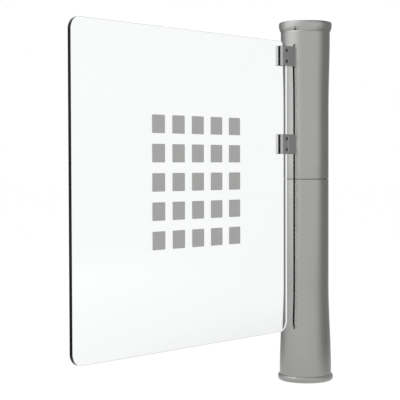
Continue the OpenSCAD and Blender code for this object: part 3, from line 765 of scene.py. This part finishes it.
def level_at(levels, angle):
    """Brightness in a table at an angle in degrees from the camera's side."""
    for (a, low), (b, high) in zip(levels, levels[1:]):
        if a <= angle <= b:
            return low + (high - low) * (angle - a) / (b - a)
    return levels[-1][1]


def blend(a, b, t):
    """Value between a and b."""
    return a + (b - a) * t


def card_rings(angle):
    """Radius, height and brightness of the studio's cards at an angle from the camera's side."""
    reach = blend(WALL_FAR, WALL_NEAR, smooth((abs(angle) - WALL_STEP_FROM) / WALL_STEP_SPAN))
    light = level_at(WALL_LEVELS, angle)
    dim = level_at(FOOT_LEVELS, angle)
    high = level_at(HIGH_LEVELS, angle)
    shade = APRON_SHADE * max(0.0, math.sin(math.radians(angle)))
    rings = []
    for t in steps(0, 1, parts=14):
        radius = blend(APRON_IN, reach, t ** APRON_SPREAD)
        far = min(1.0, math.sqrt(radius - APRON_FADE_FROM))
        rings.append((radius, APRON_Z, blend(APRON_LEVEL * blend(1, dim, shade), dim, far)))
    for z in [*steps(WALL_LOW, HIGH_TO, parts=29), WALL_TOP]:
        level = blend(dim, light, min(1.0, z / FOOT_FADE) ** FOOT_FADE_POWER)
        lift = smooth((z - HIGH_FROM) / (HIGH_TO - HIGH_FROM))
        rings.append((reach, z, blend(level, high, lift)))
    for t in steps(0, 1, parts=6)[1:]:
        rings.append((reach * math.cos(t * DOME_CLOSE), WALL_TOP + DOME_RISE * math.sin(t * DOME_BEND),
                      blend(high, DOME_LEVEL, smooth(t))))
    return rings


def empty_material(name):
    """New material whose glow isn't sampled as a lamp, and its empty node tree."""
    material = bpy.data.materials.new(name)
    material.use_nodes = True
    material.node_tree.nodes.clear()
    material.cycles.emission_sampling = "NONE"
    return material, material.node_tree


def make_walls():
    """Round wall of soft light and shade, with an apron and a dome, that only reflections show."""
    bm = bmesh.new()
    facing = math.atan2(CAMERA_AT.y, CAMERA_AT.x)
    angles = steps(-180, 180, WALL_PARTS)[:-1]
    level = bm.verts.layers.float.new("level")
    columns = []
    for angle in angles:
        a = facing + math.radians(angle)
        column = []
        for radius, z, light in card_rings(angle):
            column.append(bm.verts.new((radius * math.cos(a), radius * math.sin(a), z)))
            column[-1][level] = light
        columns.append(column)
    rings = list(zip(*columns))
    for low, high in zip(rings, rings[1:]):
        for k in range(WALL_PARTS):
            j = (k + 1) % WALL_PARTS
            bm.faces.new((low[k], low[j], high[j], high[k]))
    walls = finish_mesh(bm, "studio_walls")
    material, tree = empty_material("studio_walls")
    reader = tree.nodes.new("ShaderNodeAttribute")
    reader.attribute_name = "level"
    glow = tree.nodes.new("ShaderNodeEmission")
    out = tree.nodes.new("ShaderNodeOutputMaterial")
    tree.links.new(reader.outputs["Fac"], glow.inputs["Strength"])
    tree.links.new(glow.outputs["Emission"], out.inputs["Surface"])
    walls.data.materials.append(material)
    for kind in ("camera", "diffuse", "transmission", "shadow", "volume_scatter"):
        setattr(walls, "visible_" + kind, False)


def seen_directly(tree):
    """1 for rays that look at the background: from the camera, a reflection or through glass."""
    path = tree.nodes.new("ShaderNodeLightPath")
    total = path.outputs["Is Camera Ray"]
    for name in ("Is Glossy Ray", "Is Transmission Ray"):
        most = tree.nodes.new("ShaderNodeMath")
        most.operation = "MAXIMUM"
        tree.links.new(total, most.inputs[0])
        tree.links.new(path.outputs[name], most.inputs[1])
        total = most.outputs[0]
    return total


def make_floor():
    """Pale floor that blends into the white background and keeps a soft shadow."""
    bm = bmesh.new()
    bmesh.ops.create_circle(bm, cap_ends=True, segments=96, radius=FLOOR_R)
    floor = finish_mesh(bm, "floor")
    material, tree = empty_material("floor")
    plain = tree.nodes.new("ShaderNodeBsdfDiffuse")
    plain.inputs["Color"].default_value = (FLOOR_COLOUR, FLOOR_COLOUR, FLOOR_COLOUR, 1)
    soft = tree.nodes.new("ShaderNodeBsdfDiffuse")
    soft.inputs["Color"].default_value = (FLOOR_SEEN, FLOOR_SEEN, FLOOR_SEEN, 1)
    glow = tree.nodes.new("ShaderNodeEmission")
    glow.inputs["Strength"].default_value = FLOOR_GLOW
    lit = tree.nodes.new("ShaderNodeAddShader")
    mix = tree.nodes.new("ShaderNodeMixShader")
    out = tree.nodes.new("ShaderNodeOutputMaterial")
    tree.links.new(soft.outputs[0], lit.inputs[0])
    tree.links.new(glow.outputs[0], lit.inputs[1])
    tree.links.new(seen_directly(tree), mix.inputs["Fac"])
    tree.links.new(plain.outputs[0], mix.inputs[1])
    tree.links.new(lit.outputs[0], mix.inputs[2])
    tree.links.new(mix.outputs[0], out.inputs["Surface"])
    floor.data.materials.append(material)


def make_world():
    """White background, and an even soft light on everything else."""
    world = bpy.data.worlds.new("studio")
    world.use_nodes = True
    tree = world.node_tree
    tree.nodes.clear()
    background = tree.nodes.new("ShaderNodeBackground")
    background.inputs["Color"].default_value = (1, 1, 1, 1)
    out = tree.nodes.new("ShaderNodeOutputWorld")
    ranged = tree.nodes.new("ShaderNodeMapRange")
    ranged.inputs["To Min"].default_value = WORLD_LEVEL
    ranged.inputs["To Max"].default_value = 1.0
    tree.links.new(seen_directly(tree), ranged.inputs["Value"])
    tree.links.new(ranged.outputs["Result"], background.inputs["Strength"])
    tree.links.new(background.outputs[0], out.inputs["Surface"])
    bpy.context.scene.world = world


def make_lamp(name, at, size, power):
    """Soft box that points at the middle of the gate and stays out of reflections."""
    light = bpy.data.lights.new(name, "AREA")
    light.shape = "DISK"
    light.size = size
    light.energy = power
    lamp = link(name, light)
    lamp.location = at
    lamp.rotation_mode = "QUATERNION"
    lamp.rotation_quaternion = (LAMP_AIM - Vector(at)).to_track_quat("-Z", "Y")
    lamp.visible_glossy = False
    lamp.visible_transmission = False


def make_camera():
    """Camera at the photograph's viewing angle."""
    turn, pitch, roll = CAMERA_TURN, CAMERA_PITCH, CAMERA_ROLL
    forward = Vector((math.sin(turn) * math.cos(pitch), math.cos(turn) * math.cos(pitch),
                      -math.sin(pitch)))
    right = Vector((math.cos(turn), -math.sin(turn), 0))
    up = right.cross(forward)
    side = right * math.cos(roll) - up * math.sin(roll)
    top = up * math.cos(roll) + right * math.sin(roll)
    data = bpy.data.cameras.new("camera")
    data.lens = CAMERA_LENS
    data.sensor_width = CAMERA_SENSOR
    data.clip_start, data.clip_end = CAMERA_CLIP
    camera = link("camera", data)
    axes = Matrix((side, top, -forward)).transposed()
    camera.matrix_world = Matrix.Translation(CAMERA_AT) @ axes.to_4x4()
    bpy.context.scene.camera = camera


make_camera()
make_column()
make_head()
make_cap()
make_base_ring()
make_glass()
make_film()
make_clamps()
finish_inner_nodes()

make_floor()
make_walls()
make_world()
for name, (at, size, power) in LAMPS.items():
    make_lamp(name, at, size, power)
bpy.context.scene.view_settings.view_transform = "Standard"
